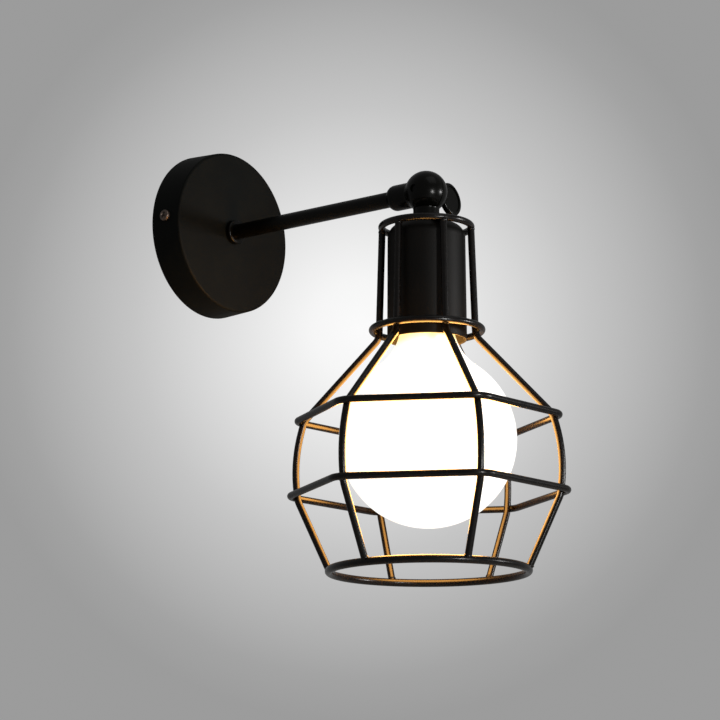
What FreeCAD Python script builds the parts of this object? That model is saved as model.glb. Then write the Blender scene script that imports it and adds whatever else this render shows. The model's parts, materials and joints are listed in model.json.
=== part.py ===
import FreeCAD, Part
import math
import os

# Cage wall light. Origin on the wall at the middle of the canopy, +X right, -Y out of the wall, +Z up.
# The head is drawn about the hinge line, hanging straight down, and then moved out to it.
V = FreeCAD.Vector
X, Y, Z = V(1, 0, 0), V(0, 1, 0), V(0, 0, 1)
ORIGIN = V(0, 0, 0)

past = 1.0  # how far a cutting shape runs past the face it leaves by
fit_gap = 0.05  # radial room of a piece that is pushed or screwed into another

# Canopy, a drum with a slight draft
canopy_r = 46.5  # at the wall
canopy_draft = 1.0  # smaller at the front
canopy_depth = 19.0
canopy_wall = 1.2
canopy_edge_round = 1.4

# Mounting bracket
bracket_t = 1.6
strap_width = 14.0
ear_gap = 0.5  # from the ear's corners to the canopy's inside
ear_depth = 14.5
slot_centre = 30.0
slot_half_width = 2.6
slot_length = 12.0
cable_hole_r = 6.0
tab_width = 22.0
tab_top = 31.0

# Side screws
screw_depth = 9.5  # from the wall
screw_turn = 3.0  # degrees, the left screw above the level and the right one below
side_screw_r = 1.9
side_head_r = 3.2
side_head_h = 2.0
side_head_round = 1.2
side_screw_length = 8.5  # under the head
screw_hole_gap = 0.3

# Arm
reach = 138.0  # canopy front to hinge line
arm_r = 4.3
arm_bore_r = 3.0
collar_r = 6.8
collar_length = 3.0
collar_round = 1.1
washer_t = 0.8
washer_r = 7.6
washer_teeth = 12
tooth_depth = 1.2
tag_reach = 12.0
nut_across = 13.0
arm_nut_t = 4.0
arm_tail = 2.0  # thread past the nut

# Wiring in the canopy
block_width = 20.0
block_depth = 10.5
block_height = 14.0
block_z = 14.5
block_round = 1.0
terminal_pitch = 9.0
terminal_screw_r = 1.7
terminal_hole_depth = 4.0
terminal_screw_sink = 0.6  # screw below the block's face
terminal_row = 3.4  # screws above and below the block's middle
lead_hold = 2.0  # length of lead inside the block
lead_r = 0.95
lead_side = 1.35  # lead centres beside the bore's axis, on their own half's side of the seam
lead_apart = 2.1
lead_bend = 3.0
lead_end_gap = 1.5  # from a lead's end to the stud
lead_tail = 2.0  # lead below the block before it turns
earth_x = 18.0
earth_head_r = 3.0
earth_head_h = 1.8
earth_head_round = 0.9
earth_screw_r = 1.6

# Ball knuckle
ball_r = 11.4
stem_r = 7.0
stem_length = 24.2  # hinge line to the end of the arm stem
stem_nose = 4.4
stem_fillet = 2.0
socket_depth = 12.0
seam = 0.5
half_gap = 0.35  # between one half's ball and the other half's stem
cavity_r = 7.2
friction_inset = 0.6  # friction washer's edge in from the ball's
friction_land = 0.2  # its bore out from the hollow's

# Clamp key
stud_r = 2.0
stud_end = -10.2
stud_clear = 0.05
ball_flat = 10.2  # spot face under the key
spring_t = 0.75
spring_r = 3.9
spot_gap = 0.4  # from the spring washer to the spot face's wall
hub_r = 3.9
hub_length = 3.2
paddle_centre = 20.8
paddle_half_length = 8.2
paddle_half_height = 9.4
paddle_t = 3.4
paddle_round = 1.1
paddle_rim = 1.9
paddle_dish = 0.5
paddle_turn = -9.4  # degrees about the hinge line, as the key stands when tight

# Neck, nipple and lamp cup, heights from the hinge line
neck_end = -16.4
carrier_t = 1.6
carrier_width = 8.0
carrier_eye_r = 8.5  # round the nipple
carrier_angle = 60.0
carrier_drop = 2.2  # its ends below its middle
carrier_knee = 14.5  # where the ends turn down
nipple_r = 5.0
nipple_bore_r = 3.5
nipple_in_neck = 5.0
nipple_end = -30.0
lead_drop = 1.0  # leads run on below the nipple before they part
cup_r = 20.7
cup_mouth_r = 21.1
cup_wall = 1.0
cup_shoulder = 7.5
cup_mouth = -81.0
cup_nut_across = 15.0
cup_nut_t = 3.0

# Lampholder
holder_r = 18.6
holder_boss_r = 8.0
holder_boss_h = 2.4
holder_split = -38.0  # cap above, body below
holder_mouth = -66.5
holder_floor = 4.0
holder_brim = 3.0  # straight side of the cap
holder_crown_r = 16.4  # where the cap's shoulder is fullest
holder_crown_z = -29.8
holder_cap_wall = 1.6
shell_sink = 0.5  # screw shell in from the body's mouth
shell_r = 13.5  # inside of the screw shell
shell_t = 0.45
terminal_x = 9.0
terminal_bore = 1.15
terminal_sink = 2.4
lead_rise = 3.6  # leads cross this far above the split
lead_foot = 0.3  # from a lead's end to the bottom of its hole
contact_width = 6.0
contact_t = 0.5
contact_drop = 0.7
contact_margin = 2.0  # from the tongue's fixed end to the shell

# Bulb
globe_r = 46.7
globe_z = -134.0
glass_t = 1.0
neck_r = 13.9
neck_sweep = 30.0  # radius of the hollow curve from neck to globe
bulb_collar_t = 2.3
bulb_collar_lip = 0.6  # collar's edge beyond the cap, and its height at the neck
cap_r = 13.1
cap_t = 0.5
cap_top = -50.0
tip_base = -46.2
tip_top = -43.5
tip_r = 4.6
tip_point_r = 3.0
insulator_step = 0.6  # insulator beyond the tip
insulator_in = 1.5  # depth inside the cap
cap_roll = 0.4
source_r = 11.8
source_neck_r = 8.6
source_t = 3.2
source_plate_t = 2.0

# Cage
wire_r = 1.85
base_wire_r = 2.1
rib_count = 6
weld_sink = 0.3
top_ring_r = 23.8
top_ring_z = neck_end - carrier_t / 2 - carrier_drop
collar_ring_z = -75.4
shoulder_r = 25.7
shoulder_z = -79.3
upper_r = 66.0
upper_z = -122.6
belly_r = 71.6
belly_z = -143.9
lower_r = 69.2
lower_z = -164.8
lower_ring_z = -162.4
base_r = 51.9
base_z = -203.3
shoulder_bend = 8.0
corner_bend = 10.0
belly_bend = 85.0
hexagon_bend = 12.0

hinge = V(0, -(canopy_depth + reach), 0)
strap_z = neck_end - carrier_t
cup_top = strap_z
nut_top = cup_top - cup_wall
holder_top = nut_top - cup_nut_t
canopy_inside = canopy_depth - canopy_wall
wire_y = -(bracket_t + block_depth / 2)
rib_step = 360.0 / rib_count

parts = {}


def rz(r, z):
    return V(r, 0, z)


def line(a, b):
    return Part.LineSegment(a, b).toShape()


def arc(a, middle, b):
    return Part.Arc(a, middle, b).toShape()


def arc_about(centre, a, b):
    out = (a - centre) + (b - centre)
    middle = centre + out.normalize() * (a - centre).Length
    return arc(a, middle, b)


def revolved(edges, axis=Z):
    return Part.Face(Part.Wire(edges)).revolve(ORIGIN, axis, 360)


def polygon_revolved(points):
    vectors = [rz(r, z) for r, z in points]
    return Part.Face(Part.makePolygon(vectors + vectors[:1])).revolve(ORIGIN, Z, 360)


def rod(r, start, end):
    way = end - start
    return Part.makeCylinder(r, way.Length, start, way)


def sleeve(outer, inner, start, end):
    return rod(outer, start, end).cut(rod(inner, start, end))


def box(low, high):
    size = high - low
    return Part.makeBox(size.x, size.y, size.z, low)


def hexagon_prism(across, start, end):
    way = end - start
    corner_r = across / 2 / math.cos(math.pi / 6)
    side = X if abs(way.x) < 0.5 * way.Length else Z
    up = way.cross(side)
    corners = []
    for k in range(7):
        turn = k * math.pi / 3
        around = side * math.cos(turn) + up.normalize() * math.sin(turn)
        corners.append(start + around * corner_r)
    return Part.Face(Part.makePolygon(corners)).extrude(way)


def rounded_path(points, radii, closed=False):
    count = len(points)
    stops = []
    for k in range(count):
        if not closed and k in (0, count - 1):
            stops.append((points[k], points[k], None))
            continue
        before = (points[k] - points[k - 1]).normalize()
        after = (points[(k + 1) % count] - points[k]).normalize()
        half_turn = before.getAngle(after) / 2
        cut = radii[k] * math.tan(half_turn)
        inward = (after - before).normalize()
        middle = points[k] + inward * (radii[k] / math.cos(half_turn) - radii[k])
        stops.append((points[k] - before * cut, points[k] + after * cut, middle))
    edges = []
    for k, (enter, leave, middle) in enumerate(stops):
        if middle is not None:
            edges.append(arc(enter, middle, leave))
        if closed or k < count - 1:
            edges.append(line(leave, stops[(k + 1) % count][0]))
    return Part.Wire(edges)


def swept(path, r, start, way):
    circle = Part.Wire(Part.Circle(start, way, r).toShape())
    return path.makePipeShell([circle], True, False)


def lead(points, radii):
    path = rounded_path(points, radii)
    return swept(path, lead_r, points[0], points[1] - points[0])


def canopy_radius(depth):
    return canopy_r - canopy_draft * depth / canopy_depth


def canopy_block(inset, depth):
    return Part.makeCone(canopy_r - inset, canopy_radius(depth) - inset, depth, ORIGIN, -Y)


def turned(shape):
    shape.rotate(ORIGIN, Y, screw_turn)
    return shape


def across_screws(half_length, r):
    return turned(rod(r, V(-half_length, -screw_depth, 0), V(half_length, -screw_depth, 0)))


def make_canopy():
    drum = canopy_block(0, canopy_depth)
    rim = [e for e in drum.Edges if e.BoundBox.YMax < 0.01 - canopy_depth]
    drum = drum.makeFillet(canopy_edge_round, rim)
    shell = drum.cut(canopy_block(canopy_wall, canopy_inside))
    shell = shell.cut(rod(arm_r + fit_gap, ORIGIN, V(0, -canopy_depth - past, 0)))
    return shell.cut(across_screws(canopy_r + past, side_screw_r + screw_hole_gap))


def ear_outside():
    inner_r = canopy_radius(ear_depth) - canopy_wall - ear_gap
    return math.sqrt(inner_r ** 2 - (strap_width / 2) ** 2)


def slot(x):
    run = slot_length / 2 - slot_half_width
    through = V(0, -bracket_t - 2 * past, 0)
    hole = box(V(x - run, -bracket_t - past, -slot_half_width), V(x + run, past, slot_half_width))
    for end in (-run, run):
        start = V(x + end, past, 0)
        hole = hole.fuse(rod(slot_half_width, start, start + through))
    return hole


def make_bracket():
    half = strap_width / 2
    outside = ear_outside()
    strap = box(V(-outside, -ear_depth, -half), V(outside, 0, half))
    inside = outside - bracket_t
    strap = strap.cut(box(V(-inside, -ear_depth - past, -half - past), V(inside, -bracket_t, half + past)))
    at_wall = [e for e in strap.Edges if abs(e.CenterOfMass.y) < 0.01]
    corner = [e for e in at_wall if abs(abs(e.CenterOfMass.x) - outside) < 0.01]
    strap = strap.makeFillet(bracket_t, corner)
    strap = strap.fuse(box(V(-tab_width / 2, -bracket_t, 0), V(tab_width / 2, 0, tab_top)))
    strap = strap.cut(rod(cable_hole_r, Y * past, V(0, -bracket_t - past, 0)))
    for x in (-slot_centre, slot_centre):
        strap = strap.cut(slot(x))
    strap = strap.cut(across_screws(outside + past, side_screw_r + fit_gap))
    strap = strap.cut(rod(earth_screw_r + fit_gap, V(earth_x, past, 0), V(earth_x, -bracket_t - past, 0)))
    return strap.removeSplitter()


def side_screw(side):
    # The head's underside follows the canopy's round side.
    seat = V(canopy_radius(screw_depth), -screw_depth, 0)
    top = seat + X * side_head_h
    head = rod(side_head_r, seat - X * past, top)
    crown = [e for e in head.Edges if e.BoundBox.XMin > top.x - 0.01]
    head = head.makeFillet(side_head_round, crown).cut(canopy_block(0, canopy_depth))
    shank = rod(side_screw_r, seat - X * side_screw_length, seat + X * (side_head_h - side_head_round))
    screw = head.fuse(shank).removeSplitter()
    if side < 0:
        screw.rotate(ORIGIN, Y, 180)
    return turned(screw)


def make_collar():
    front = -canopy_depth - collar_length
    ring = rod(collar_r, V(0, -canopy_depth, 0), V(0, front, 0))
    edge = [e for e in ring.Edges if e.BoundBox.YMax < front + 0.01]
    return ring.makeFillet(collar_round, edge).cut(rod(arm_r + fit_gap, ORIGIN, V(0, front - past, 0)))


def arm_tail_y():
    return -(canopy_inside - washer_t - arm_nut_t - arm_tail)


def arm_end_y():
    return hinge.y + stem_length - socket_depth


def make_lock_washer():
    front = V(0, -canopy_inside, 0)
    back = front + Y * washer_t
    washer = rod(washer_r, front, back)
    notch = math.pi * washer_r / washer_teeth / 2
    for k in range(1, washer_teeth):
        low = V(washer_r - tooth_depth, front.y - past, -notch / 2)
        cutter = box(low, V(washer_r + past, back.y + past, notch / 2))
        cutter.rotate(ORIGIN, Y, k * 360.0 / washer_teeth)
        washer = washer.cut(cutter)
    tag = box(V(0, front.y, -lead_r * 2), V(tag_reach, back.y, lead_r * 2))
    return washer.fuse(tag).cut(rod(arm_r + fit_gap, ORIGIN, front - Y)).removeSplitter()


def make_arm_nut():
    front = V(0, -canopy_inside + washer_t, 0)
    back = front + Y * arm_nut_t
    return hexagon_prism(nut_across, front, back).cut(rod(arm_r + fit_gap, ORIGIN, front - Y))


def make_terminal_block():
    low = V(-block_width / 2, -bracket_t - block_depth, block_z)
    block = box(low, low + V(block_width, block_depth, block_height))
    upright = [e for e in block.Edges if abs(e.CenterOfMass.y - low.y) < 0.01]
    block = block.makeFillet(block_round, upright)
    middle_z = block_z + block_height / 2
    for x in (-terminal_pitch / 2, terminal_pitch / 2):
        bottom = V(x, wire_y, block_z - past)
        block = block.cut(rod(terminal_bore, bottom, bottom + Z * (block_height + 2 * past)))
        for row in (-terminal_row, terminal_row):
            mouth = V(x, low.y - past, middle_z + row)
            bottom = mouth + Y * (past + terminal_hole_depth)
            block = block.cut(rod(terminal_screw_r + fit_gap, mouth, bottom))
    return block


def terminal_screws():
    front = -bracket_t - block_depth
    middle_z = block_z + block_height / 2
    screws = []
    for x in (-terminal_pitch / 2, terminal_pitch / 2):
        for row in (-terminal_row, terminal_row):
            start = V(x, front + terminal_screw_sink, middle_z + row)
            end = V(x, front + terminal_hole_depth - fit_gap, middle_z + row)
            screws.append(rod(terminal_screw_r, start, end))
    return screws


def make_earth_screw():
    head = rod(earth_head_r, V(earth_x, -bracket_t, 0), V(earth_x, -bracket_t - earth_head_h, 0))
    crown = [e for e in head.Edges if e.BoundBox.YMax < -bracket_t - earth_head_h + 0.01]
    head = head.makeFillet(earth_head_round, crown)
    shank_end = V(earth_x, -bracket_t - earth_head_h + earth_head_round, 0)
    return head.fuse(rod(earth_screw_r, V(earth_x, 0, 0), shank_end)).removeSplitter()


def supply_lead(side):
    # From the terminal block, down to the tube's tail and along its bore to the knuckle's hollow.
    # One lies over the other in the bore, so the lower one turns in nearer the wall.
    clamp = V(side * terminal_pitch / 2, wire_y, block_z + lead_hold)
    entry = V(side * terminal_pitch / 2, wire_y, block_z - lead_tail)
    back = 0 if side < 0 else lead_apart
    turn = V(-lead_side, wire_y + back, -side * lead_apart / 2)
    end = V(-lead_side, hinge.y + stud_r + lead_r + lead_end_gap, turn.z)
    return lead([clamp, entry, turn, end], [0, lead_bend, lead_bend, 0])


def make_earth_lead():
    over = -(bracket_t + earth_head_h + lead_r + fit_gap)
    tag_x = tag_reach - 1.5 * lead_r
    start = V(earth_x + earth_head_r, over, 0)
    turn = V(tag_x, over, 0)
    end = V(tag_x, -canopy_inside + washer_t + fit_gap, 0)
    return lead([start, turn, end], [0, lead_bend, 0])


def ball_and_stem(length, nose):
    # Turned blank about Z: a ball with a stem hanging from it, a hollow curve between, a rounded end.
    reach_out = ball_r + stem_fillet
    off = stem_r + stem_fillet
    curve = rz(off, -math.sqrt(reach_out ** 2 - off ** 2))
    on_ball = curve * (ball_r / reach_out)
    on_stem = rz(stem_r, curve.z)
    side = rz(ball_r, 0)
    top = rz(0, ball_r)
    edges = [arc_about(ORIGIN, top, side), arc_about(ORIGIN, side, on_ball)]
    edges.append(arc_about(curve, on_ball, on_stem))
    if nose > 0:
        nose_centre = rz(stem_r - nose, -length + nose)
        nose_side = rz(stem_r, -length + nose)
        nose_end = rz(stem_r - nose, -length)
        edges += [line(on_stem, nose_side), arc_about(nose_centre, nose_side, nose_end)]
        edges.append(line(nose_end, rz(0, -length)))
    else:
        edges += [line(on_stem, rz(stem_r, -length)), line(rz(stem_r, -length), rz(0, -length))]
    edges.append(line(rz(0, -length), top))
    return revolved(edges)


def other_half(sign):
    # The space that the other half's ball turns in, on its side of the seam.
    room = Part.makeSphere(ball_r + half_gap)
    size = ball_r + half_gap + past
    near = sign * seam / 2
    low, high = sorted((near, sign * -2 * size))
    return room.common(box(V(low, -size, -size), V(high, size, size)))


def make_arm_half():
    blank = ball_and_stem(stem_length, stem_nose)
    blank.rotate(ORIGIN, X, 90)
    half = blank.cut(other_half(-1)).cut(Part.makeSphere(cavity_r))
    half = half.cut(rod(arm_r + fit_gap, V(0, stem_length - socket_depth, 0), V(0, stem_length + past, 0)))
    half = half.cut(rod(arm_bore_r, ORIGIN, V(0, stem_length, 0)))
    return half.cut(rod(stud_r + stud_clear, ORIGIN, V(-ball_r - past, 0, 0)))


def make_head_half():
    half = ball_and_stem(-neck_end, 0).cut(other_half(1)).cut(Part.makeSphere(cavity_r))
    half = half.cut(rod(nipple_r + fit_gap, rz(0, neck_end - past), rz(0, neck_end + nipple_in_neck)))
    half = half.cut(rod(nipple_bore_r, ORIGIN, rz(0, neck_end)))
    half = half.cut(rod(stud_r + stud_clear, ORIGIN, V(ball_r + past, 0, 0)))
    return half.cut(rod(spring_r + spot_gap, V(ball_flat, 0, 0), V(ball_r + past, 0, 0)))


def make_friction_washer():
    start = V(-seam / 2 + stud_clear, 0, 0)
    return sleeve(ball_r - friction_inset, cavity_r + friction_land, start, V(seam / 2, 0, 0))


def make_spring_washer():
    return sleeve(spring_r, stud_r + fit_gap, V(ball_flat + stud_clear, 0, 0), V(ball_flat + spring_t, 0, 0))


def oval(half_length, half_height):
    # Four tangent arcs, with ends as round as an ellipse's.
    short, tall = sorted((half_length, half_height))
    end_r = short ** 2 / tall
    side_r = ((tall - end_r) ** 2 + short ** 2 - end_r ** 2) / (2 * (short - end_r))
    end = V(0, tall - end_r, 0)
    side = V(short - side_r, 0, 0)
    meet = end + (end - side).normalize() * end_r
    corners = [V(x * meet.x, y * meet.y, 0) for x, y in ((1, -1), (1, 1), (-1, 1), (-1, -1))]
    tips = [V(short, 0, 0), V(0, tall, 0), V(-short, 0, 0), V(0, -tall, 0)]
    wire = Part.Wire([arc(corners[k], tips[k], corners[(k + 1) % 4]) for k in range(4)])
    if half_length > half_height:
        wire.rotate(ORIGIN, Z, 90)
    return wire


def oval_plate(half_length, half_height, thickness):
    plate = Part.Face(oval(half_length, half_height)).extrude(Z * thickness)
    plate.translate(Z * (-thickness / 2))
    plate.rotate(ORIGIN, X, 90)
    return plate


def make_paddle():
    plate = oval_plate(paddle_half_length, paddle_half_height, paddle_t)
    plate = plate.makeFillet(paddle_round, [e for e in plate.Edges if e.BoundBox.YLength < 0.01])
    dish = oval_plate(paddle_half_length - paddle_rim, paddle_half_height - paddle_rim, paddle_t)
    for side in (-1, 1):
        cutter = dish.copy()
        cutter.translate(Y * (side * (paddle_t - paddle_dish)))
        plate = plate.cut(cutter)
    plate.translate(X * paddle_centre)
    hub_start = ball_flat + spring_t
    hub = rod(hub_r, V(hub_start, 0, 0), V(hub_start + hub_length, 0, 0))
    paddle = plate.fuse(hub).cut(rod(stud_r + fit_gap, ORIGIN, V(hub_start + hub_length, 0, 0)))
    paddle = paddle.removeSplitter()
    paddle.rotate(ORIGIN, X, paddle_turn)
    return paddle


def make_stud():
    return rod(stud_r, V(stud_end, 0, 0), V(ball_flat + spring_t + hub_length - fit_gap, 0, 0))


def make_nipple():
    return sleeve(nipple_r, nipple_bore_r, rz(0, neck_end + nipple_in_neck - fit_gap), rz(0, nipple_end))


def make_cup():
    flat_r = cup_r - cup_shoulder
    hole_r = nipple_r + fit_gap
    hub = rz(flat_r, cup_top - cup_shoulder)
    inner_r = cup_r - cup_wall
    mouth_in = cup_mouth_r - cup_wall
    outer_top, inner_top = rz(flat_r, cup_top), rz(flat_r, cup_top - cup_wall)
    outer_side, inner_side = rz(cup_r, hub.z), rz(inner_r, hub.z)
    rim = rz(cup_mouth_r - cup_wall / 2, cup_mouth)
    rim_out, rim_in = rz(cup_mouth_r, cup_mouth + cup_wall / 2), rz(mouth_in, cup_mouth + cup_wall / 2)
    return revolved([
        line(rz(hole_r, cup_top), outer_top),
        arc_about(hub, outer_top, outer_side),
        line(outer_side, rim_out),
        arc(rim_out, rim, rim_in),
        line(rim_in, inner_side),
        arc_about(hub, inner_side, inner_top),
        line(inner_top, rz(hole_r, cup_top - cup_wall)),
        line(rz(hole_r, cup_top - cup_wall), rz(hole_r, cup_top)),
    ])


def make_cup_nut():
    nut = hexagon_prism(cup_nut_across, rz(0, nut_top), rz(0, holder_top))
    return nut.cut(rod(nipple_r + fit_gap, ORIGIN, rz(0, nipple_end)))


def make_holder_cap():
    boss_end = holder_top - holder_boss_h
    brim = holder_split + holder_brim
    outside = revolved([
        line(rz(0, holder_top), rz(holder_boss_r, holder_top)),
        line(rz(holder_boss_r, holder_top), rz(holder_boss_r, boss_end)),
        arc(rz(holder_boss_r, boss_end), rz(holder_crown_r, holder_crown_z), rz(holder_r, brim)),
        line(rz(holder_r, brim), rz(holder_r, holder_split)),
        line(rz(holder_r, holder_split), rz(0, holder_split)),
        line(rz(0, holder_split), rz(0, holder_top)),
    ])
    inner_r = holder_r - holder_cap_wall
    roof = boss_end - holder_cap_wall
    hollow = polygon_revolved([
        (0, roof), (holder_boss_r - holder_cap_wall, roof), (inner_r, brim - holder_cap_wall),
        (inner_r, holder_split), (0, holder_split),
    ])
    return outside.cut(hollow).cut(rod(nipple_r + fit_gap, ORIGIN, rz(0, holder_split)))


def make_holder_body():
    floor = holder_split - holder_floor
    body = rod(holder_r, rz(0, holder_split), rz(0, holder_mouth))
    body = body.cut(rod(shell_r + shell_t + fit_gap, rz(0, floor), rz(0, holder_mouth - past)))
    for x in (-terminal_x, terminal_x):
        body = body.cut(rod(terminal_bore, rz(x, holder_split + past), rz(x, holder_split - terminal_sink)))
    return body


def make_screw_shell():
    top = holder_split - holder_floor
    return sleeve(shell_r + shell_t, shell_r, rz(0, top), rz(0, holder_mouth + shell_sink))


def make_contact():
    top = holder_split - holder_floor
    low = top - contact_drop
    bend = contact_width / 2
    fixed = contact_margin - shell_r
    outline = [rz(fixed, top), rz(-bend, top), rz(0, low), rz(bend, low)]
    back = [p - Z * contact_t for p in reversed(outline)]
    tongue = Part.Face(Part.makePolygon(outline + back + outline[:1])).extrude(Y * contact_width)
    tongue.translate(Y * (-contact_width / 2))
    return tongue


def head_lead(side):
    y = side * lead_apart / 2
    start = V(lead_side, y, -stud_r - lead_r - lead_end_gap)
    leave = V(lead_side, y, nipple_end - lead_drop)
    over = rz(side * terminal_x, holder_split + lead_rise)
    end = rz(side * terminal_x, holder_split - terminal_sink + lead_foot)
    return lead([start, leave, over, end], [0, lead_bend, lead_bend, 0])


def globe_blank(inset):
    # Sphere and neck joined by a hollow curve that is tangent to both.
    sphere_r = globe_r - inset
    sweep = neck_sweep + inset
    middle = rz(0, globe_z)
    out = neck_r - inset + sweep
    curve = rz(out, globe_z + math.sqrt((sphere_r + sweep) ** 2 - out ** 2))
    on_globe = middle + (curve - middle) * (sphere_r / (sphere_r + sweep))
    neck = rz(neck_r - inset, curve.z)
    side, bottom = rz(sphere_r, globe_z), rz(0, globe_z - sphere_r)
    return revolved([
        line(rz(0, curve.z), neck),
        arc_about(curve, neck, on_globe),
        arc_about(middle, on_globe, side),
        arc_about(middle, side, bottom),
        line(bottom, rz(0, curve.z)),
    ])


def neck_top():
    out = neck_r + neck_sweep
    return globe_z + math.sqrt((globe_r + neck_sweep) ** 2 - out ** 2)


def make_bulb():
    top = neck_top()
    collar_top = top + bulb_collar_t
    parts["bulb_globe"] = globe_blank(0).cut(globe_blank(glass_t))
    lip = bulb_collar_lip
    parts["bulb_collar"] = polygon_revolved([
        (0, collar_top), (cap_r + lip, collar_top), (neck_r, top + lip), (neck_r, top), (0, top),
    ])
    shell_low = rz(0, collar_top)
    parts["bulb_screw_cap"] = sleeve(cap_r, cap_r - cap_t, shell_low, rz(0, cap_top))
    plug_r, ledge = cap_r - cap_t - fit_gap, cap_top + fit_gap
    parts["bulb_insulator"] = polygon_revolved([
        (0, tip_base), (tip_r + insulator_step, tip_base), (cap_r - cap_roll, ledge), (plug_r, ledge),
        (plug_r, cap_top - insulator_in), (0, cap_top - insulator_in),
    ])
    parts["bulb_tip"] = polygon_revolved([
        (0, tip_top), (tip_point_r, tip_top), (tip_r, tip_base), (0, tip_base),
    ])
    plate_top = top - source_t + source_plate_t
    parts["bulb_light_source"] = polygon_revolved([
        (0, top), (source_neck_r, top), (source_neck_r, plate_top), (source_r, plate_top),
        (source_r, top - source_t), (0, top - source_t),
    ])


def torus(ring_r, r, height):
    return Part.makeTorus(ring_r, r, rz(0, height))


def rib_path():
    points = [
        rz(top_ring_r, top_ring_z), rz(shoulder_r, shoulder_z), rz(upper_r, upper_z),
        rz(belly_r, belly_z), rz(lower_r, lower_z), rz(base_r, base_z),
    ]
    return rounded_path(points, [0, shoulder_bend, corner_bend, belly_bend, corner_bend, 0]), points


def radius_at(path, height):
    level = line(rz(0, height), rz(2 * belly_r, height))
    return path.distToShape(level)[1][0][0].x


def hexagon_ring(rib_r, height):
    touch = rib_r + 2 * wire_r - weld_sink
    corner = touch + hexagon_bend * (1 / math.cos(math.pi / rib_count) - 1)
    points = []
    for k in range(rib_count):
        turn = math.radians(k * rib_step)
        points.append(V(corner * math.cos(turn), corner * math.sin(turn), height))
    path = rounded_path(points, [hexagon_bend] * rib_count, closed=True)
    first = path.OrderedEdges[0]
    start = first.valueAt(first.FirstParameter)
    way = first.tangentAt(first.FirstParameter)
    return swept(path, wire_r, start, way)


def make_carrier(top_ring):
    high = [rz(carrier_knee, neck_end), rz(top_ring_r, top_ring_z + carrier_t / 2)]
    low = [rz(top_ring_r, top_ring_z - carrier_t / 2), rz(carrier_knee, strap_z)]
    right = high + low
    left = [rz(-p.x, p.z) for p in reversed(right)]
    strap = Part.Face(Part.makePolygon(right + left + right[:1])).extrude(Y * carrier_width)
    strap.translate(Y * (-carrier_width / 2))
    strap = strap.fuse(rod(carrier_eye_r, rz(0, strap_z), rz(0, neck_end))).removeSplitter()
    return strap.cut(top_ring).cut(rod(nipple_r + fit_gap, ORIGIN, rz(0, nipple_end)))


def make_cage():
    path, points = rib_path()
    collar_ring_r = radius_at(path, collar_ring_z) + 2 * wire_r - weld_sink
    rings = {
        "cage_top_ring": torus(top_ring_r, wire_r, top_ring_z),
        "cage_collar_ring": torus(collar_ring_r, wire_r, collar_ring_z),
        "cage_upper_hexagon": hexagon_ring(radius_at(path, upper_z), upper_z),
        "cage_lower_hexagon": hexagon_ring(radius_at(path, lower_ring_z), lower_ring_z),
        "cage_bottom_ring": torus(base_r, base_wire_r, base_z),
    }
    carrier = make_carrier(rings["cage_top_ring"])
    rib = swept(path, wire_r, points[0], points[1] - points[0])
    rib = rib.cut(Part.makeCompound([*rings.values(), carrier]))
    rib = max(rib.Solids, key=lambda solid: solid.Volume)
    parts.update(rings)
    for k in range(rib_count):
        copy = rib.copy()
        copy.rotate(ORIGIN, Z, k * rib_step)
        parts[f"cage_rib_{k + 1}"] = copy
    carrier.rotate(ORIGIN, Z, carrier_angle)
    parts["cage_carrier"] = carrier


def make_head():
    parts["knuckle_head_half"] = make_head_half()
    parts["knuckle_arm_half"] = make_arm_half()
    parts["friction_washer"] = make_friction_washer()
    parts["clamp_stud"] = make_stud()
    parts["clamp_paddle"] = make_paddle()
    parts["spring_washer"] = make_spring_washer()
    parts["neck_nipple"] = make_nipple()
    parts["lamp_cup"] = make_cup()
    parts["cup_locknut"] = make_cup_nut()
    parts["lampholder_cap"] = make_holder_cap()
    parts["lampholder_body"] = make_holder_body()
    parts["lampholder_screw_shell"] = make_screw_shell()
    parts["lampholder_contact"] = make_contact()
    parts["head_lead_live"] = head_lead(-1)
    parts["head_lead_neutral"] = head_lead(1)
    make_bulb()
    make_cage()
    for shape in parts.values():
        shape.translate(hinge)


def make_wall_side():
    parts["canopy"] = make_canopy()
    parts["mounting_bracket"] = make_bracket()
    parts["side_screws"] = Part.makeCompound([side_screw(1), side_screw(-1)])
    parts["arm_collar"] = make_collar()
    parts["arm_tube"] = sleeve(arm_r, arm_bore_r, V(0, arm_tail_y(), 0), V(0, arm_end_y() + fit_gap, 0))
    parts["arm_lock_washer"] = make_lock_washer()
    parts["arm_locknut"] = make_arm_nut()
    parts["terminal_block"] = make_terminal_block()
    parts["terminal_screws"] = Part.makeCompound(terminal_screws())
    parts["earth_screw"] = make_earth_screw()
    parts["arm_lead_live"] = supply_lead(-1)
    parts["arm_lead_neutral"] = supply_lead(1)
    parts["earth_lead"] = make_earth_lead()


make_head()
make_wall_side()
os.makedirs("parts", exist_ok=True)
for name, shape in sorted(parts.items()):
    print(f"{name}: {len(shape.Solids)} solid(s), {shape.Volume:.1f} mm3, valid {shape.isValid()}")
    shape.exportStep(f"parts/{name}.step")
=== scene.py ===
import json
import math

import bmesh
import bpy
from mathutils import Matrix, Vector, noise


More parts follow.
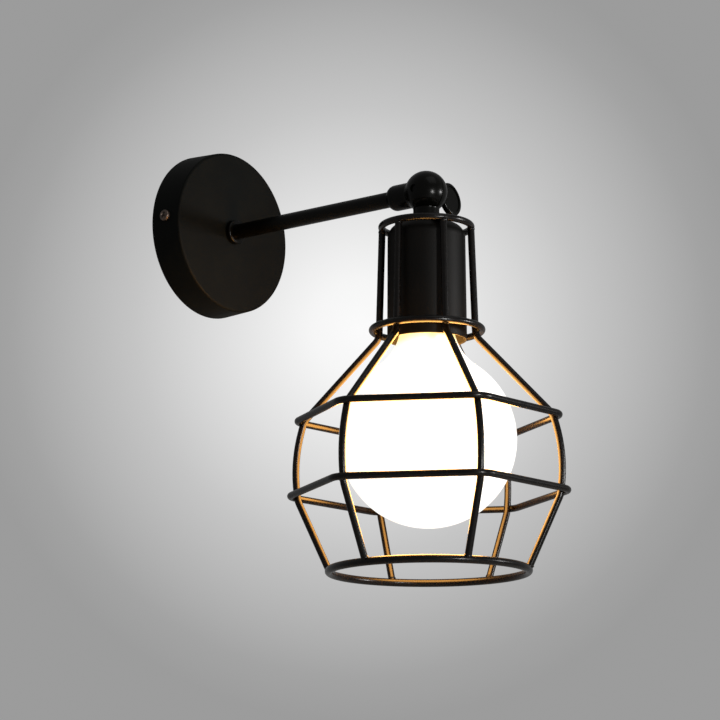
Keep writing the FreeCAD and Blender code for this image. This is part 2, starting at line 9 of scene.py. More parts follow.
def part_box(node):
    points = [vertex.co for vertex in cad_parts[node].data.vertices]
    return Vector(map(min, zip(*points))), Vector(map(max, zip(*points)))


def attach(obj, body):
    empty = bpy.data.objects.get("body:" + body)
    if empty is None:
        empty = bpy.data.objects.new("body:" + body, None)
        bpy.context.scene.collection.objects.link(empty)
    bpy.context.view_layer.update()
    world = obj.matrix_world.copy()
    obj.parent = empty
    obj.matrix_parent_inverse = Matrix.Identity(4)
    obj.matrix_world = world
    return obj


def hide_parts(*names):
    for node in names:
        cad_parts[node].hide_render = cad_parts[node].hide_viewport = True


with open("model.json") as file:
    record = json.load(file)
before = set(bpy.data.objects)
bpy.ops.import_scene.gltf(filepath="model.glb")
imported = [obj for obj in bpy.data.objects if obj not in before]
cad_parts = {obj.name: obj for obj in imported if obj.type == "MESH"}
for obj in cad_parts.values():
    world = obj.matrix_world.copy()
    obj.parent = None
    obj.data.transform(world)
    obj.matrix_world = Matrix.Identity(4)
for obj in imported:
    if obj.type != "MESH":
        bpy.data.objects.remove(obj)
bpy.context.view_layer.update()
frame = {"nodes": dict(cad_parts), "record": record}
nodes = frame["nodes"]
mm = 0.001
xAxis, yAxis, zAxis = Vector((1, 0, 0)), Vector((0, 1, 0)), Vector((0, 0, 1))
joints = {joint["name"]: joint for joint in frame["record"]["behaviour"]["joints"]}
hinge = Vector(joints["head_tilt"]["pos_m"])  # where the head tilts


def middle(node):
    low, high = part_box(node)
    return (low + high) / 2


def extent(node):
    low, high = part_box(node)
    return high - low


# Shaders

class Sock:  # a shader socket that arithmetic can be written with
    def __init__(self, shader, socket):
        self.shader = shader
        self.socket = socket

    def __add__(self, other):
        return self.shader.maths("ADD", self, other)

    def __sub__(self, other):
        return self.shader.maths("SUBTRACT", self, other)

    def __rsub__(self, other):
        return self.shader.maths("SUBTRACT", other, self)

    def __mul__(self, other):
        return self.shader.maths("MULTIPLY", self, other)

    def __truediv__(self, other):
        return self.shader.maths("DIVIDE", self, other)

    def __rtruediv__(self, other):
        return self.shader.maths("DIVIDE", other, self)

    __radd__ = __add__
    __rmul__ = __mul__

    def ramp(self, low, high):  # 0 at low, 1 at high, eased
        settings = {"interpolation_type": "SMOOTHSTEP"}
        return self.shader.node("ShaderNodeMapRange", settings, {0: self, 1: low, 2: high})


class Shader:  # the nodes of one material or of the world
    def __init__(self, owner):
        owner.use_nodes = True
        self.owner = owner
        self.tree = owner.node_tree
        self.tree.nodes.clear()

    def node(self, kind, settings=None, values=None, out=0):
        made = self.tree.nodes.new(kind)
        for key, value in (settings or {}).items():
            if key == "stops":
                self.setStops(made.color_ramp, value)
            else:
                setattr(made, key, value)
        for key, value in (values or {}).items():
            if isinstance(value, Sock):
                self.tree.links.new(value.socket, made.inputs[key])
            else:
                made.inputs[key].default_value = value
        return Sock(self, made.outputs[out]) if made.outputs else None

    def setStops(self, ramp, stops):
        while len(ramp.elements) < len(stops):
            ramp.elements.new(1)
        for element, (place, colour) in zip(ramp.elements, stops):
            element.position = place
            element.color = (*colour, 1)

    def maths(self, operation, *values):
        return self.node("ShaderNodeMath", {"operation": operation}, dict(enumerate(values)))

    def place(self):
        return self.node("ShaderNodeTexCoord", out="Object")

    def axis(self, letter):
        return self.node("ShaderNodeSeparateXYZ", None, {0: self.place()}, out=letter)

    def rayIs(self, kind):
        return self.node("ShaderNodeLightPath", out=f"Is {kind} Ray")

    def grain(self, size, detail=3, stretch=(1, 1, 1)):  # cloudy 0 to 1, size in metres
        where = self.node("ShaderNodeMapping", None, {"Vector": self.place(), "Scale": stretch})
        return self.node("ShaderNodeTexNoise", None, {"Vector": where, "Scale": 1 / size, "Detail": detail})

    def blend(self, factor, first, second):
        values = {0: factor, 6: (*first, 1), 7: (*second, 1)}  # 6 and 7 are the colour sockets
        return self.node("ShaderNodeMix", {"data_type": "RGBA"}, values, out=2)

    def relief(self, height, depth, under=None):
        values = {"Strength": 1.0, "Distance": depth, "Height": height}
        if under:
            values["Normal"] = under
        return self.node("ShaderNodeBump", None, values)

    def surface(self, values):
        made = self.node("ShaderNodeBsdfPrincipled", None, values)
        self.node("ShaderNodeOutputMaterial", None, {"Surface": made})
        return self.owner


def newShader(name):
    return Shader(bpy.data.materials.new(name))


paintGrain = dict(thin=(0.35, 0.75), speckRough=0.08)


def paint(name, look):  # black paint: orange peel, fine grain, patches of thinner gloss
    shader = newShader(name)
    cloud = shader.grain(look["patch"], 4)
    peel = shader.grain(look["peel"], 2)
    speck = shader.grain(look["speck"], 2)
    thin = [c * look["lift"] for c in look["colour"]]
    rough = look["rough"] + look["uneven"] * (cloud - 0.5) + paintGrain["speckRough"] * (speck - 0.5)
    return shader.surface({
        "Base Color": shader.blend(cloud.ramp(*paintGrain["thin"]), look["colour"], thin),
        "Roughness": rough,
        "Specular IOR Level": look["specular"],
        "Normal": shader.relief(speck, look["speckDepth"], shader.relief(peel, look["peelDepth"])),
    })


paints = {
    "canopyPaint": dict(colour=(0.0015, 0.0018, 0.0015), lift=1.5, rough=0.56, uneven=0.12, specular=0.05,
                        patch=14 * mm, peel=1.4 * mm, peelDepth=0.02 * mm, speck=0.3 * mm, speckDepth=0.012 * mm),
    "armPaint": dict(colour=(0.0009, 0.0009, 0.0006), lift=1.6, rough=0.24, uneven=0.05, specular=0.11,
                     patch=9 * mm, peel=1.1 * mm, peelDepth=0.015 * mm, speck=0.3 * mm, speckDepth=0.008 * mm),
    "cupPaint": dict(colour=(0.0012, 0.0010, 0.0007), lift=1.5, rough=0.48, uneven=0.10, specular=0.12,
                     patch=12 * mm, peel=1.3 * mm, peelDepth=0.016 * mm, speck=0.3 * mm, speckDepth=0.009 * mm),
    "wirePaint": dict(colour=(0.0012, 0.0008, 0.0006), lift=1.7, rough=0.27, uneven=0.08, specular=0.20,
                      patch=6 * mm, peel=0.9 * mm, peelDepth=0.012 * mm, speck=0.25 * mm, speckDepth=0.007 * mm),
}


metalGrain = dict(dull=(0.3, 0.8), cloudRough=0.18, lineRough=0.12)


def metal(name, look):  # plated or bare metal with fine turning lines and a dull bloom
    shader = newShader(name)
    cloud = shader.grain(look["patch"], 4)
    lines = shader.grain(look["line"], 3, look["stretch"])
    clouded = look["rough"] + metalGrain["cloudRough"] * (cloud - 0.5)
    return shader.surface({
        "Base Color": shader.blend(cloud.ramp(*metalGrain["dull"]), look["colour"], look["dull"]),
        "Metallic": 1.0,
        "Roughness": clouded + metalGrain["lineRough"] * (lines - 0.5),
        "Normal": shader.relief(lines, look["depth"]),
    })


metals = {
    "blackOxide": dict(colour=(0.13, 0.10, 0.085), dull=(0.07, 0.054, 0.045), patch=2.5 * mm, line=0.25 * mm,
                       stretch=(1, 4, 1), rough=0.4, depth=0.006 * mm),
    "zinc": dict(colour=(0.62, 0.61, 0.58), dull=(0.42, 0.41, 0.38), patch=2.5 * mm, line=0.25 * mm,
                 stretch=(1, 4, 1), rough=0.36, depth=0.006 * mm),
    "brass": dict(colour=(0.78, 0.58, 0.27), dull=(0.52, 0.36, 0.16), patch=2.0 * mm, line=0.2 * mm,
                  stretch=(1, 1, 4), rough=0.3, depth=0.005 * mm),
    "nickel": dict(colour=(0.70, 0.68, 0.64), dull=(0.55, 0.52, 0.47), patch=3.0 * mm, line=0.25 * mm,
                   stretch=(1, 1, 4), rough=0.26, depth=0.005 * mm),
}


plasticGrain = dict(second=(0.3, 0.7), speckRough=0.15)


def plastic(name, look):  # moulded or extruded plastic, or pressed fibre
    shader = newShader(name)
    cloud = shader.grain(look["patch"], 3)
    speck = shader.grain(look["speck"], 3)
    return shader.surface({
        "Base Color": shader.blend(cloud.ramp(*plasticGrain["second"]), look["colour"], look["second"]),
        "Roughness": look["rough"] + plasticGrain["speckRough"] * (speck - 0.5),
        "Normal": shader.relief(speck, look["depth"]),
    })


plastics = {
    "whitePlastic": dict(colour=(0.78, 0.77, 0.72), second=(0.70, 0.68, 0.61), patch=5 * mm, speck=0.5 * mm,
                         rough=0.38, depth=0.008 * mm),
    "holderBlack": dict(colour=(0.012, 0.011, 0.010), second=(0.02, 0.017, 0.014), patch=4 * mm, speck=0.4 * mm,
                        rough=0.3, depth=0.008 * mm),
    "fibre": dict(colour=(0.10, 0.045, 0.026), second=(0.16, 0.075, 0.04), patch=0.8 * mm, speck=0.25 * mm,
                  rough=0.75, depth=0.03 * mm),
    "leadBrown": dict(colour=(0.085, 0.032, 0.014), second=(0.11, 0.045, 0.02), patch=2 * mm, speck=0.4 * mm,
                      rough=0.45, depth=0.006 * mm),
    "leadBlue": dict(colour=(0.02, 0.085, 0.33), second=(0.03, 0.11, 0.38), patch=2 * mm, speck=0.4 * mm,
                     rough=0.45, depth=0.006 * mm),
}


earthLook = dict(green=(0.03, 0.22, 0.03), yellow=(0.75, 0.55, 0.02), edge=0.1 * mm, speck=0.4 * mm, rough=0.45,
                 depth=0.006 * mm)


def earthInsulation():  # green above, yellow below, along the lead
    look = earthLook
    shader = newShader("leadEarth")
    stripe = shader.axis("Z").ramp(-look["edge"], look["edge"])
    speck = shader.grain(look["speck"])
    return shader.surface({
        "Base Color": shader.blend(stripe, look["yellow"], look["green"]),
        "Roughness": look["rough"] + plasticGrain["speckRough"] * (speck - 0.5),
        "Normal": shader.relief(speck, look["depth"]),
    })


globeLook = dict(glass=(0.93, 0.90, 0.84), dim=0.97, cloud=22 * mm, clouds=(0.3, 0.7), rough=0.16, cloudRough=0.05,
                 coat=0.4, coatRough=0.06, ripple=9 * mm, rippleDepth=0.02 * mm, neck=(-86 * mm, -80.5 * mm),
                 waver=0.03 * mm, seen=(1.02, 0.99, 0.95), seenNeck=(0.92, 0.86, 0.38), cast=(1.0, 0.46, 0.10),
                 strength=34.0)


def opalGlass():
    # Milky glass lit from within: it looks just white, yellower at the neck, and casts a strong warm light.
    look = globeLook
    shader = newShader("opalGlass")
    cloud = shader.grain(look["cloud"], 3)
    height = shader.axis("Z") + look["waver"] * cloud
    glow = shader.blend(height.ramp(*look["neck"]), look["seen"], look["seenNeck"])
    dim = [c * look["dim"] for c in look["glass"]]
    glass = {
        "Base Color": shader.blend(cloud.ramp(*look["clouds"]), look["glass"], dim),
        "Roughness": look["rough"] + look["cloudRough"] * (cloud - 0.5),
        "Coat Weight": look["coat"],
        "Coat Roughness": look["coatRough"],
        "Normal": shader.relief(shader.grain(look["ripple"], 2), look["rippleDepth"]),
    }
    lamp = dict(glass, **{"Emission Color": (*look["cast"], 1), "Emission Strength": look["strength"]})
    bright = dict(glass, **{"Emission Color": glow, "Emission Strength": 1.0})
    both = [shader.node("ShaderNodeBsdfPrincipled", None, values) for values in (lamp, bright)]
    mixed = shader.node("ShaderNodeMixShader", None, {0: shader.rayIs("Camera"), 1: both[0], 2: both[1]})
    shader.node("ShaderNodeOutputMaterial", None, {"Surface": mixed})
    return shader.owner


def makeFinishes():
    made = {name: paint(name, look) for name, look in paints.items()}
    made.update({name: metal(name, look) for name, look in metals.items()})
    made.update({name: plastic(name, look) for name, look in plastics.items()})
    made["leadEarth"] = earthInsulation()
    made["opalGlass"] = opalGlass()
    return made


finishes = makeFinishes()
print("finishes", len(finishes))

slotFinish = {
    "black_paint": "wirePaint", "black_oxide": "blackOxide", "zinc": "zinc", "brass": "brass", "nickel": "nickel",
    "opal_glass": "opalGlass", "white_plastic": "whitePlastic", "holder_black": "holderBlack", "fibre": "fibre",
    "lead_brown": "leadBrown", "lead_blue": "leadBlue", "lead_earth": "leadEarth",
}
ownPaint = {
    "canopy": "canopyPaint", "arm_collar": "armPaint", "arm_tube": "armPaint", "knuckle_arm_half": "armPaint",
    "knuckle_head_half": "armPaint", "clamp_paddle": "armPaint", "clamp_stud": "armPaint", "lamp_cup": "cupPaint",
}


def dressNodes():
    for part in frame["record"]["subparts"]:
        node = nodes[part["node"]]
        finish = finishes[ownPaint.get(part["node"], slotFinish[part["material_slot"]])]
        node.data.materials.clear()
        node.data.materials.append(finish)


dressNodes()
print("CAD nodes dressed", len(nodes))


# Meshes

meshRules = dict(merge=1e-7, sharp=math.radians(38))  # points nearer than this join, edges sharper than this show
pole = 0.02 * mm  # radius of the smallest ring on a turned piece's axis
past = 0.2 * mm  # how far a cutter runs past the face it cuts


def gridFaces(rows, columns, rowsClosed=False):  # between rows of points that each close on themselves
    faces = []
    for r in range(rows if rowsClosed else rows - 1):
        here, beyond = r * columns, (r + 1) % rows * columns
        for c in range(columns):
            side = (c + 1) % columns
            faces.append((here + c, here + side, beyond + side, beyond + c))
    return faces


def newMesh(name, points, faces):
    mesh = bpy.data.meshes.new(name)
    mesh.from_pydata([tuple(p) for p in points], [], faces)
    tidyMesh(mesh)
    return mesh


def tidyMesh(mesh):
    shape = bmesh.new()
    shape.from_mesh(mesh)
    bmesh.ops.remove_doubles(shape, verts=shape.verts, dist=meshRules["merge"])
    bmesh.ops.recalc_face_normals(shape, faces=shape.faces)
    shape.to_mesh(mesh)
    shape.free()
    mesh.shade_smooth()
    mesh.set_sharp_from_angle(angle=meshRules["sharp"])


def turned(profile, steps, swell=None):
    # Rows of points about Z from (radius, height) pairs, with both ends closed.
    points = []
    for radius, height in profile:
        for k in range(steps):
            angle = 2 * math.pi * k / steps
            r = radius + (swell(angle, height) if swell else 0)
            points.append((r * math.cos(angle), r * math.sin(angle), height))
    faces = gridFaces(len(profile), steps)
    faces.append(tuple(range(steps)))
    faces.append(tuple(range(len(points) - steps, len(points))))
    return newMesh("turned", points, faces)


def arcRow(centre, radius, start, end, steps):  # (radius, height) pairs on an arc, angles in degrees
    row = []
    for k in range(steps + 1):
        angle = math.radians(start + (end - start) * k / steps)
        row.append((centre[0] + radius * math.cos(angle), centre[1] + radius * math.sin(angle)))
    return row


def carve(mesh, cutter):
    body = bpy.data.objects.new("body", mesh)
    tool = bpy.data.objects.new("tool", cutter)
    for item in (body, tool):
        bpy.context.scene.collection.objects.link(item)
    cut = body.modifiers.new("cut", "BOOLEAN")
    cut.operation = "DIFFERENCE"
    cut.object = tool
    result = bpy.data.meshes.new_from_object(body.evaluated_get(bpy.context.evaluated_depsgraph_get()))
    bpy.data.objects.remove(body)
    bpy.data.objects.remove(tool)
    tidyMesh(result)
    return result


def gather(placed):  # one mesh from (mesh, matrix) pairs
    shape = bmesh.new()
    for mesh, matrix in placed:
        copy = mesh.copy()
        copy.transform(matrix)
        shape.from_mesh(copy)
        bpy.data.meshes.remove(copy)
    whole = bpy.data.meshes.new("gathered")
    shape.to_mesh(whole)
    shape.free()
    tidyMesh(whole)
    return whole


def addPiece(name, mesh, body, finish, replaced=()):
    mesh.name = name
    piece = bpy.data.objects.new(name, mesh)
    bpy.context.scene.collection.objects.link(piece)
    mesh.materials.clear()
    mesh.materials.append(finishes[finish])
    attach(piece, body)
    if replaced:
        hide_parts(*replaced)


def along(direction, place):  # turns Z to a direction and moves to a place
    return Matrix.Translation(place) @ direction.to_track_quat("Z", "Y").to_matrix().to_4x4()


# Fasteners

crossScrew = dict(headR=3.2 * mm, headH=2.0 * mm, crown=1.2 * mm, crownSteps=6, sunk=0.25 * mm,
                  shankR=1.85 * mm, point=0.5, length=8.5 * mm, plain=1.2 * mm, pitch=0.7 * mm, thread=0.32 * mm,
                  fade=0.4 * mm, rows=96, steps=40, wing=3.7 * mm, wingWidth=0.95 * mm, recess=1.5 * mm,
                  taper=(1 / 2, 2 / 3))  # the recess at its bottom, as shares of its wing and width
sideScrews = dict(inward=0.5 * mm, turn=math.radians(3), slant=0.5)


def plusOutline(reach, half):
    corners = [(half, half), (half, reach), (-half, reach), (-half, half)]
    outline = []
    for k in range(4):
        turn = Matrix.Rotation(k * math.pi / 2, 2)
        outline += [turn @ Vector(c) for c in corners[:3]]
    return outline


def crossCutter(size):
    top, reach, half = size["headH"], size["wing"] / 2, size["wingWidth"] / 2
    wide = plusOutline(reach, half)
    narrow = plusOutline(reach * size["taper"][0], half * size["taper"][1])
    points = [(*p, top + past) for p in wide] + [(*p, top - size["recess"]) for p in narrow]
    count = len(wide)
    faces = gridFaces(2, count)
    faces.append(tuple(range(count)))
    faces.append(tuple(range(count, 2 * count)))
    return newMesh("cross", points, faces)


def threadSwell(pitch, depth, low, high, fade):
    # A right-hand thread cut below a cylinder, fading out at both ends.
    def swell(angle, height):
        phase = (height / pitch - angle / (2 * math.pi)) * 2 * math.pi
        edge = min(1, max(0, (height - low) / fade)) * min(1, max(0, (high - height) / fade))
        return -depth * edge * (0.5 - 0.5 * math.cos(phase))
    return swell


def screwMesh(size):
    top, under, low, plain = size["headH"], -size["sunk"], -size["length"], -size["plain"]
    crown = arcRow((size["headR"] - size["crown"], top - size["crown"]), size["crown"], 90, 0, size["crownSteps"])
    head = [(pole, top), *crown, (size["headR"], under), (size["shankR"], under)]
    rows = size["rows"]
    shank = [(size["shankR"], under + (low - under) * k / rows) for k in range(1, rows + 1)]
    shank.append((size["shankR"] * size["point"], low))
    swell = threadSwell(size["pitch"], size["thread"], low - past, plain, size["fade"])
    return carve(turned(head + shank, size["steps"], swell), crossCutter(size))


def makeSideScrews():
    seat = extent("canopy").x / 2 - sideScrews["inward"]
    depth = middle("side_screws").y
    mesh = screwMesh(crossScrew)
    level = Matrix.Rotation(sideScrews["turn"], 4, "Y")  # the left one stands a little above the right one
    placed = []
    for side in (-1, 1):
        head = along(xAxis * side, Vector((side * seat, depth, 0)))
        placed.append((mesh, level @ head @ Matrix.Rotation(sideScrews["slant"] * side, 4, "Z")))
    addPiece("side_screws_cut", gather(placed), "wall_base", "blackOxide", ["side_screws"])


makeSideScrews()

earthScrew = dict(crossScrew, headR=3.0 * mm, headH=1.8 * mm, crown=0.9 * mm, sunk=0.0, shankR=1.6 * mm,
                  length=1.6 * mm, wing=3.2 * mm, recess=1.1 * mm)  # as long as the bracket is thick


def makeEarthScrew():
    place = middle("earth_screw")
    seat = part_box("mounting_bracket")[1].y - earthScrew["length"]
    mesh = screwMesh(earthScrew)
    matrix = along(-yAxis, Vector((place.x, seat, place.z)))
    addPiece("earth_screw_cut", gather([(mesh, matrix)]), "wall_base", "brass", ["earth_screw"])


makeEarthScrew()

terminalScrew = dict(r=1.7 * mm, slot=0.5 * mm, slotDepth=0.8 * mm, edge=0.2 * mm, steps=36,
                     turn=0.3, turnByX=110, turnByZ=200)  # how each slot has come to stand, radians, and per metre


def makeTerminalScrews():
    size = terminalScrew
    low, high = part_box("terminal_screws")
    length = high.y - low.y
    edge = size["edge"]
    profile = [(pole, length), (size["r"] - edge, length), (size["r"], length - edge), (size["r"], 0), (pole, 0)]
    deep = length - size["slotDepth"]
    half = size["slot"] / 2
    reach = size["r"] + past
    corners = [(-reach, -half), (reach, -half), (reach, half), (-reach, half)]
    points = [(*c, length + past) for c in corners] + [(*c, deep) for c in corners]
    cutter = newMesh("slot", points, gridFaces(2, 4) + [(0, 1, 2, 3), (4, 5, 6, 7)])
    mesh = carve(turned(profile, size["steps"]), cutter)
    placed = []
    for x in (low.x + size["r"], high.x - size["r"]):
        for z in (low.z + size["r"], high.z - size["r"]):
            turn = size["turn"] + x * size["turnByX"] + z * size["turnByZ"]
            placed.append((mesh, along(-yAxis, Vector((x, high.y, z))) @ Matrix.Rotation(turn, 4, "Z")))
    addPiece("terminal_screws_cut", gather(placed), "wall_base", "brass", ["terminal_screws"])


makeTerminalScrews()
print("fasteners")

springWasher = dict(inner=2.05 * mm, outer=3.9 * mm, thick=0.5 * mm, gap=14, steps=72)  # gap in degrees


def makeSpringWasher():
    size = springWasher
    low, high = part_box("spring_washer")
    base = low.x + size["thick"] / 2
    lift = high.x - low.x - size["thick"]
    points = []
    for k in range(size["steps"] + 1):
        share = k / size["steps"]
        angle = math.radians(size["gap"] / 2 + share * (360 - size["gap"]))
        x = base + lift * share
        for r, off in ((size["inner"], -0.5), (size["outer"], -0.5), (size["outer"], 0.5), (size["inner"], 0.5)):
            points.append(hinge + Vector((x + off * size["thick"], r * math.cos(angle), r * math.sin(angle))))
    faces = gridFaces(size["steps"] + 1, 4)
    faces += [(0, 1, 2, 3), tuple(range(len(points) - 4, len(points)))]
    mesh = newMesh("spring_washer_split", points, faces)
    addPiece("spring_washer_split", mesh, "clamp_key", "blackOxide", ["spring_washer"])


makeSpringWasher()

# Threads

def threadedSleeve(name, size, low, high, threaded, matrix):
    # A tube about Z whose thread is rolled through its wall, or cut in its outside where a bore is given.
    swell = threadSwell(size["pitch"], size["depth"], *threaded, size["fade"])
    rows = round((threaded[1] - threaded[0]) / size["pitch"] * size["rowsPerPitch"])
    heights = [threaded[0] + (threaded[1] - threaded[0]) * k / rows for k in range(rows + 1)]
    heights = [low, *[h for h in heights if low < h < high], high]
    rolled = "bore" not in size
    inside = size["r"] - size["wall"] if rolled else size["bore"]
    steps = size["steps"]
    points = []
    for radius, run, wavy in ((size["r"], heights, True), (inside, heights[::-1], rolled)):
        for height in run:
            for k in range(steps):
                angle = 2 * math.pi * k / steps
                r = radius + (swell(angle, height) if wavy else 0)
                points.append(matrix @ Vector((r * math.cos(angle), r * math.sin(angle), height)))
    return newMesh(name, points, gridFaces(2 * len(heights), steps, rowsClosed=True))


bulbThread = dict(pitch=3.63 * mm, depth=1.0 * mm, fade=1.6 * mm, rowsPerPitch=14, steps=96, wall=0.45 * mm)
capEnds = dict(start=2.2 * mm, stop=0.6 * mm)  # plain ends of the bulb's cap


def makeBulbThreads():
    # Cap and shell share one helix, so that they mesh at rest and all the way out.
    capLow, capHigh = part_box("bulb_screw_cap")
    threaded = (capLow.z + capEnds["start"], capHigh.z - capEnds["stop"])
    for name, node, body, slot in (("bulb_cap_threaded", "bulb_screw_cap", "bulb", "nickel"),
                                   ("holder_shell_threaded", "lampholder_screw_shell", "head", "brass")):
        low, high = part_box(node)
        size = dict(bulbThread, r=extent(node).x / 2)
        mesh = threadedSleeve(name, size, low.z, high.z, threaded, Matrix.Translation(hinge))
        addPiece(name, mesh, body, slot, [node])


makeBulbThreads()

armThread = dict(pitch=1.0 * mm, depth=0.5 * mm, fade=0.5 * mm, rowsPerPitch=12, steps=64, bore=3.0 * mm,
                 threaded=(-0.25 * mm, 6.6 * mm))


def makeArmTube():
    low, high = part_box("arm_tube")
    size = dict(armThread, r=extent("arm_tube").x / 2)
    place = along(-yAxis, yAxis * high.y)
    mesh = threadedSleeve("arm_tube_threaded", size, 0, high.y - low.y, size["threaded"], place)
    addPiece("arm_tube_threaded", mesh, "wall_base", "armPaint", ["arm_tube"])


makeArmTube()

nutLook = dict(flat=0.97, slope=1.73, chamferRows=5, steps=72, boreEdge=0.4 * mm)
nuts = {
    "arm_locknut": dict(body="wall_base", direction=yAxis, bore=4.35 * mm),
    "cup_locknut": dict(body="head", direction=zAxis, bore=5.05 * mm),
}


def makeNut(node, body, direction, bore):
    # Hexagon with its corners chamfered at both ends, about the node's own middle.
    box = extent(node)
    across = box.x * math.cos(math.pi / 6)
    thick = sum(abs(a * b) for a, b in zip(box, direction))
    steps = nutLook["steps"]
    corner = box.x / 2
    low = across / 2 * nutLook["flat"]
    drop = (corner - low) / nutLook["slope"]
    heights = [drop * k / nutLook["chamferRows"] for k in range(nutLook["chamferRows"] + 1)]
    outer = [(h, low + h * nutLook["slope"]) for h in heights]
    outer += [(thick - h, limit) for h, limit in reversed(outer)]
    edge = nutLook["boreEdge"]
    inner = [(thick, bore + edge), (thick - edge, bore), (edge, bore), (0, bore + edge)]
    points = []
    for rows, hexagon in ((outer, True), (inner, False)):
        for height, limit in rows:
            for k in range(steps):
                angle = 2 * math.pi * k / steps
                side = across / 2 / math.cos(angle % (math.pi / 3) - math.pi / 6)
                r = min(side, limit) if hexagon else limit
                points.append((r * math.cos(angle), r * math.sin(angle), height - thick / 2))
    name = node + "_chamfered"
    mesh = newMesh(name, points, gridFaces(len(outer) + len(inner), steps, rowsClosed=True))
    mesh.transform(along(direction, middle(node)))
    addPiece(name, mesh, body, "zinc", [node])


for nut, look in nuts.items():
    makeNut(nut, **look)
print("threads and nuts")

# Weld beads of the cage

ribCount = 6
weldLook = dict(long=2.15 * mm, thick=1.0 * mm, endThick=1.2 * mm, sink=0.3 * mm, fine=3,
                lump=0.12, lumpScale=2.3, lumpStep=(7.1, 1.7, 0), heightSeed=900)


def bead(size, matrix, seed):  # a lumpy ellipsoid
    shape = bmesh.new()
    bmesh.ops.create_icosphere(shape, subdivisions=weldLook["fine"], radius=1.0)
    start = Vector(weldLook["lumpStep"]) * seed
    for v in shape.verts:
        lump = 1 + weldLook["lump"] * noise.noise(v.co * weldLook["lumpScale"] + start)
        v.co = Vector([c * s for c, s in zip(v.co, size)]) * lump
    mesh = bpy.data.meshes.new("bead")
    shape.to_mesh(mesh)
    shape.free()
    return mesh, matrix


def ringCentre(node):  # radius and height of a ring's wire at a rib, and the wire's own radius
    wire = extent(node).z / 2
    return extent(node).x / 2 - wire, middle(node).z - hinge.z, wire


def addWelds(ring, size, r, z, height, lean=0):  # a bead at each rib
    beads = []
    for k in range(ribCount):
        place = Matrix.Translation(hinge) @ Matrix.Rotation(k * math.tau / ribCount, 4, "Z")
        place = place @ Matrix.Translation((r, 0, z)) @ Matrix.Rotation(lean, 4, "Y")
        beads.append(bead(size, place, k + height * weldLook["heightSeed"]))
    addPiece(ring + "_welds", gather(beads), "head", "wirePaint")


def makeSideWelds():  # rings that lie outside the ribs
    thick, long = weldLook["thick"], weldLook["long"]
    for ring in ("collar_ring", "upper_hexagon", "lower_hexagon"):
        r, z, wire = ringCentre("cage_" + ring)
        addWelds(ring, (thick, long, long), r - wire + weldLook["sink"] / 2, z, z)


def makeEndWelds():  # rings that the ribs' ends stand on
    size = (weldLook["long"], weldLook["long"], weldLook["endThick"])
    for ring, other, way in (("top_ring", "collar_ring", -1), ("bottom_ring", "lower_hexagon", 1)):
        r, z, wire = ringCentre("cage_" + ring)
        nextR, nextZ, nextWire = ringCentre("cage_" + other)
        lean = math.atan2(nextR - 2 * nextWire - r, nextZ - z) if way > 0 else 0
        addWelds(ring, size, r + math.sin(lean) * wire, z + way * math.cos(lean) * wire, z, lean)


makeSideWelds()
makeEndWelds()
print("welds")


# Stage: camera, lamps, backdrop and floor

photoView = dict(place=(-1110.4, -1021.6, -377.8), azimuth=-50.65, pitch=11.507, roll=-0.112, lens=136.2, sensor=36)


def viewAxes():
    turn, pitch = math.radians(photoView["azimuth"]), math.radians(photoView["pitch"])
    right = Vector((math.cos(turn), math.sin(turn), 0))
    ahead = Vector((-math.sin(turn) * math.cos(pitch), math.cos(turn) * math.cos(pitch), math.sin(pitch)))
    return right, right.cross(ahead), ahead


def makeCamera():
    right, up, ahead = viewAxes()
    data = bpy.data.cameras.new("photoCamera")
    data.sensor_width = photoView["sensor"]
    data.lens = photoView["lens"]
    camera = bpy.data.objects.new("photoCamera", data)
    bpy.context.scene.collection.objects.link(camera)
    turn = Matrix((right, up, -ahead)).transposed().to_4x4()
    camera.matrix_world = (Matrix.Translation(Vector(photoView["place"]) * mm) @ turn
                           @ Matrix.Rotation(math.radians(photoView["roll"]), 4, "Z"))
    bpy.context.scene.camera = camera


makeCamera()

lamps = {  # offsets from the hinge along the photo's right, up and towards the camera, in metres
    "keyLamp": dict(offset=(0.62, 0.0, 0.95), size=0.13, power=8.0, colour=(1.0, 0.99, 0.97)),
    "topLamp": dict(offset=(0.5, 1.2, 0.35), size=0.9, power=2.0, colour=(1.0, 1.0, 1.0)),
    "sideLamp": dict(offset=(1.1, 0.0, 0.12), size=0.15, power=6.5, colour=(1.0, 0.99, 0.98)),
}


def makeLamps():
    right, up, ahead = viewAxes()
    for name, look in lamps.items():
        data = bpy.data.lights.new(name, "AREA")
        data.size = look["size"]
        data.energy = look["power"]
        data.color = look["colour"]
        lamp = bpy.data.objects.new(name, data)
        bpy.context.scene.collection.objects.link(lamp)
        x, y, z = look["offset"]
        place = hinge + right * x + up * y - ahead * z
        lamp.location = place
        lamp.rotation_mode = "QUATERNION"
        lamp.rotation_quaternion = (place - hinge).to_track_quat("Z", "Y")


makeLamps()

backdrop = dict(  # grey value against the angle from the bright centre, in degrees
    tilt=0.63, fades=((0, 0.985), (1.0, 0.965), (2.4, 0.898), (4.7, 0.772), (7.3, 0.638), (8.2, 0.611), (12, 0.611),
                      (30, 0.56)),
    span=30)
room = dict(  # light from around: its strength against the angle from its brightest side, in degrees
    side=(0.75, 0.5, 0.4), fades=((0, 0.5), (60, 0.32), (100, 0.12), (140, 0.2), (180, 0.32)), span=180)


def linear(value):
    return value / 12.92 if value <= 0.04045 else ((value + 0.055) / 1.055) ** 2.4


def byAngle(shader, where, centre, stops, span):  # a grey that changes with the angle from a direction
    facing = shader.node("ShaderNodeVectorMath", {"operation": "DOT_PRODUCT"}, {0: where, 1: centre}, out="Value")
    angle = shader.maths("ARCCOSINE", facing) * math.degrees(1) / span
    return shader.node("ShaderNodeValToRGB", {"stops": [(a / span, (v,) * 3) for a, v in stops]}, {0: angle})


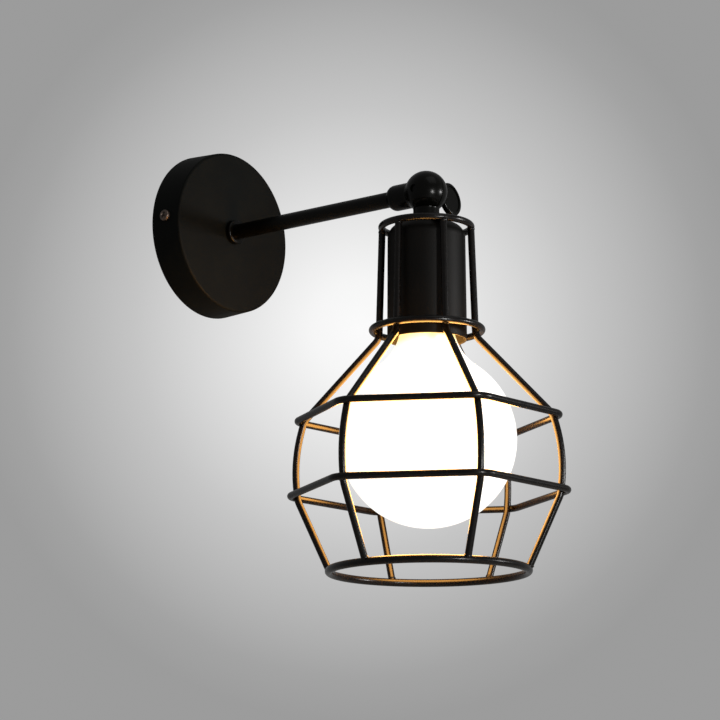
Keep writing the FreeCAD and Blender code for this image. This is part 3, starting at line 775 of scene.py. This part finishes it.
def makeBackdrop():
    right, up, ahead = viewAxes()
    world = bpy.data.worlds.new("studio")
    bpy.context.scene.world = world
    shader = Shader(world)
    where = shader.node("ShaderNodeTexCoord", out="Generated")
    aim = (ahead + up * math.tan(math.radians(backdrop["tilt"]))).normalized()
    x, y, z = room["side"]
    side = (right * x + up * y - ahead * z).normalized()
    shown = byAngle(shader, where, aim, [(a, linear(v)) for a, v in backdrop["fades"]], backdrop["span"])
    light = byAngle(shader, where, side, room["fades"], room["span"])
    seen = shader.node("ShaderNodeBackground", None, {"Color": shown, "Strength": 1.0})
    lit = shader.node("ShaderNodeBackground", None, {"Color": light, "Strength": 1.0})
    shows = shader.rayIs("Camera")
    for kind in ("Glossy", "Transmission"):
        shows = shader.maths("MAXIMUM", shows, shader.rayIs(kind))
    mixed = shader.node("ShaderNodeMixShader", None, {0: shows, 1: lit, 2: seen})
    shader.node("ShaderNodeOutputWorld", None, {"Surface": mixed})


makeBackdrop()

floorLook = dict(height=-0.56, radius=4.0, colour=(0.62, 0.62, 0.61), dim=0.97, grain=4 * mm, rough=0.9,
                 specular=0.2, near=0.5, far=2.2, rows=12, steps=96)


def makeFloor():
    # A pale floor well under the lamp, seen from above only, that fades into the backdrop.
    look = floorLook
    rows, steps = look["rows"], look["steps"]
    points = []
    for r in range(1, rows + 1):
        for k in range(steps):
            angle = 2 * math.pi * k / steps
            reach = look["radius"] * r / rows
            points.append((reach * math.cos(angle), hinge.y + reach * math.sin(angle), look["height"]))
    mesh = newMesh("floor", points, gridFaces(rows, steps) + [tuple(range(steps))])
    if mesh.polygons[0].normal.z < 0:
        mesh.flip_normals()
    floor = bpy.data.objects.new("floor", mesh)
    bpy.context.scene.collection.objects.link(floor)
    shader = newShader("floorPaint")
    x, y = shader.axis("X"), shader.axis("Y") - hinge.y
    fade = shader.maths("SQRT", x * x + y * y).ramp(look["near"], look["far"])
    below = shader.node("ShaderNodeNewGeometry", out="Backfacing")
    dim = [c * look["dim"] for c in look["colour"]]
    matte = shader.node("ShaderNodeBsdfPrincipled", None, {
        "Base Color": shader.blend(shader.grain(look["grain"]), look["colour"], dim),
        "Roughness": look["rough"], "Specular IOR Level": look["specular"]})
    clear = shader.node("ShaderNodeBsdfTransparent")
    mixed = shader.node("ShaderNodeMixShader", None, {0: shader.maths("MAXIMUM", fade, below), 1: matte, 2: clear})
    shader.node("ShaderNodeOutputMaterial", None, {"Surface": mixed})
    mesh.materials.append(shader.owner)


makeFloor()
bpy.context.scene.view_settings.view_transform = "Standard"
print("stage")
